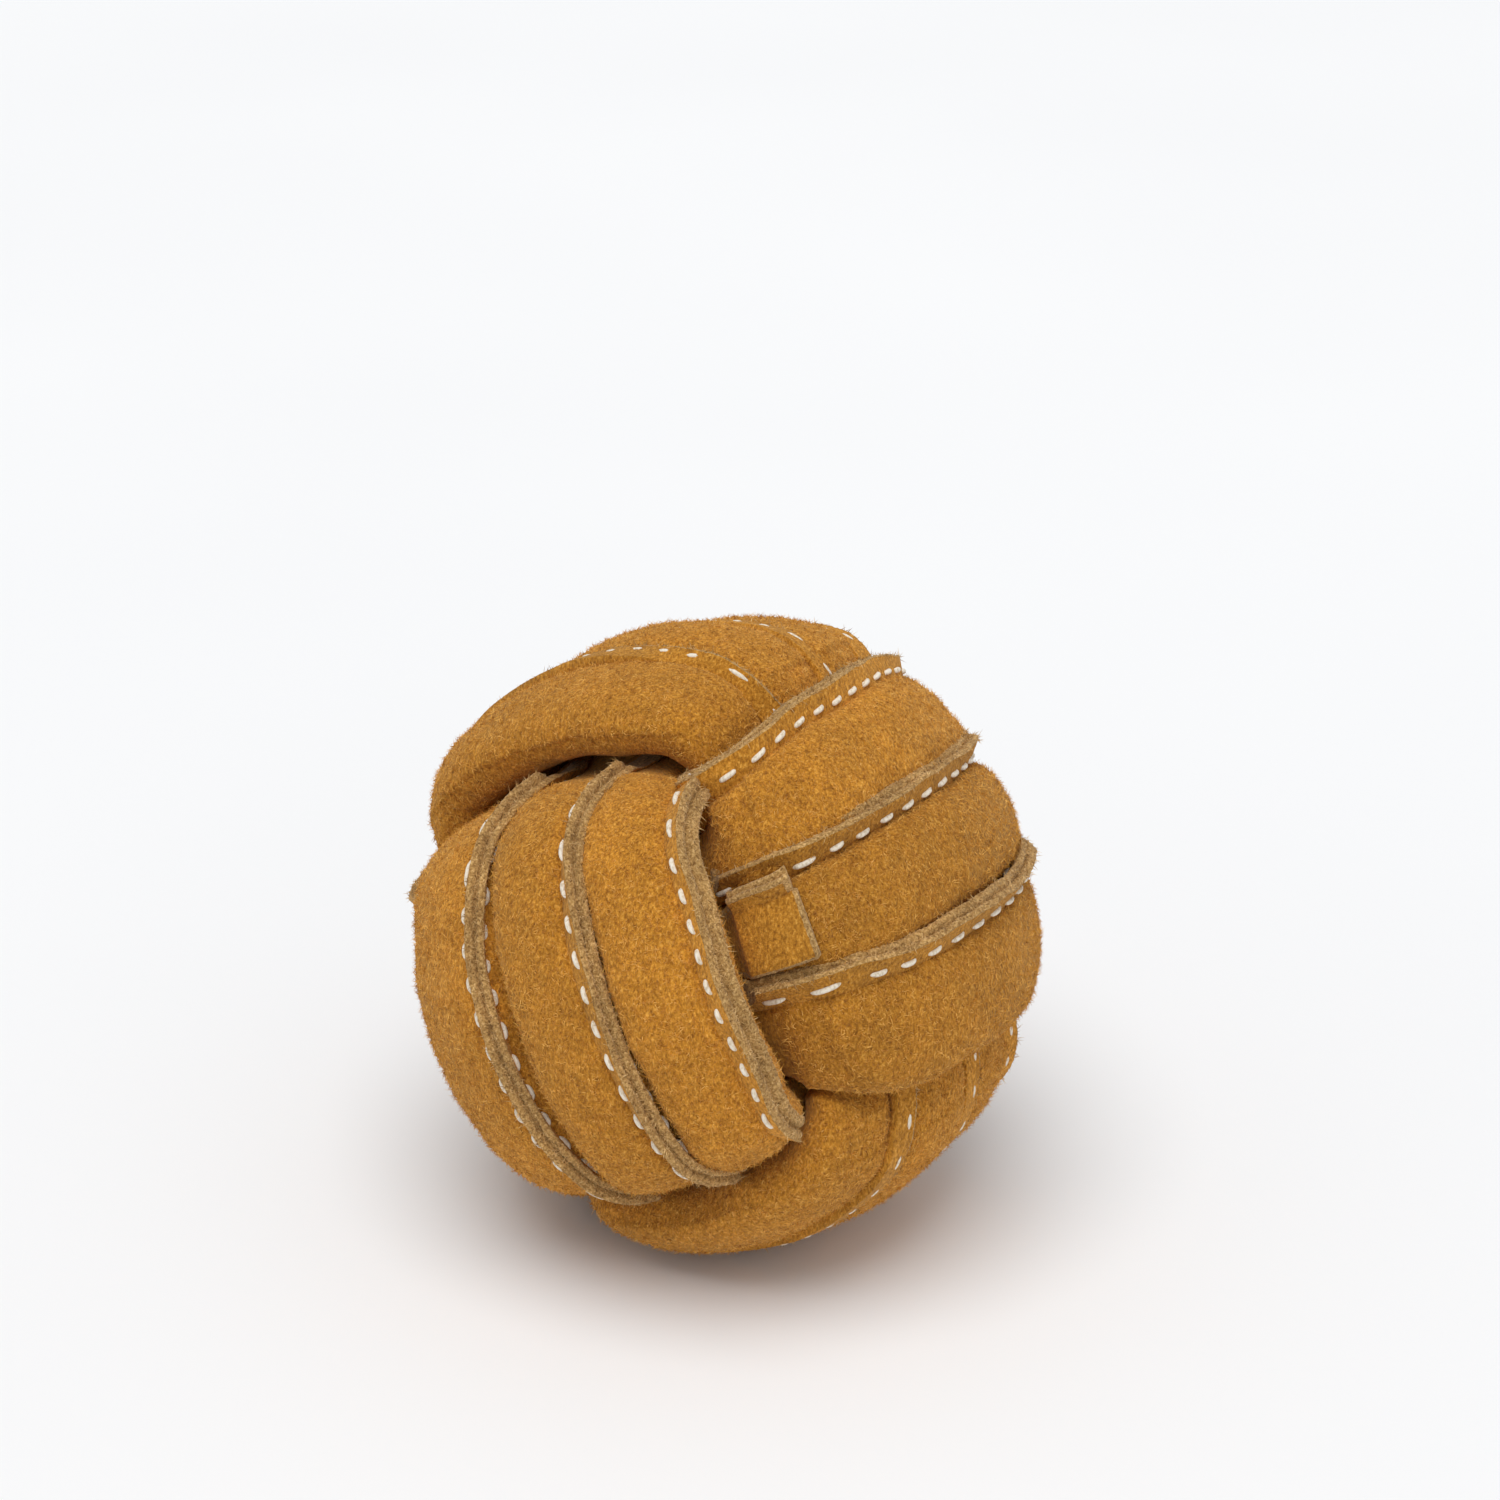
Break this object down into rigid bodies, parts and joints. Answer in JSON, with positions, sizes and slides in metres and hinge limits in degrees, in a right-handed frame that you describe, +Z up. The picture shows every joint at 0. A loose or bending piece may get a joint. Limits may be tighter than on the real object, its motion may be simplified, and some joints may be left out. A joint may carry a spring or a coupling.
{
  "type": "knotted suede hand ball",
  "caption": "Hand-size exercise ball knotted from stuffed, stitched suede strips that pass over and under each other round a core, with standing seams outside.",
  "frame": {"origin": "on the small flat on which the ball rests, straight below the middle of the knot", "axes": "+Z up, with the ball in its resting attitude; -Y is the front, where the left and right bands meet"},
  "size_m": [0.0966, 0.0942, 0.0912],
  "materials": {
    "suede": "matte",
    "suede_edge": "matte",
    "filler": "matte",
    "thread": "satin",
    "core": "matte"
  },
  "bodies": {
    "root": {"left_casing_1": "suede", "left_casing_2": "suede", "left_casing_3": "suede", "right_casing_1": "suede", "right_casing_2": "suede", "right_casing_3": "suede", "top_casing_1": "suede", "top_casing_2": "suede", "top_casing_3": "suede", "left_filler_1": "filler", "left_filler_2": "filler", "left_filler_3": "filler", "right_filler_1": "filler", "right_filler_2": "filler", "right_filler_3": "filler", "top_filler_1": "filler", "top_filler_2": "filler", "top_filler_3": "filler", "left_stitching_1": "thread", "left_stitching_2": "thread", "left_stitching_3": "thread", "right_stitching_1": "thread", "right_stitching_2": "thread", "right_stitching_3": "thread", "top_stitching_1": "thread", "top_stitching_2": "thread", "top_stitching_3": "thread", "lapped_end": "suede_edge", "core_ball": "core"}
  },
  "joints": []
}
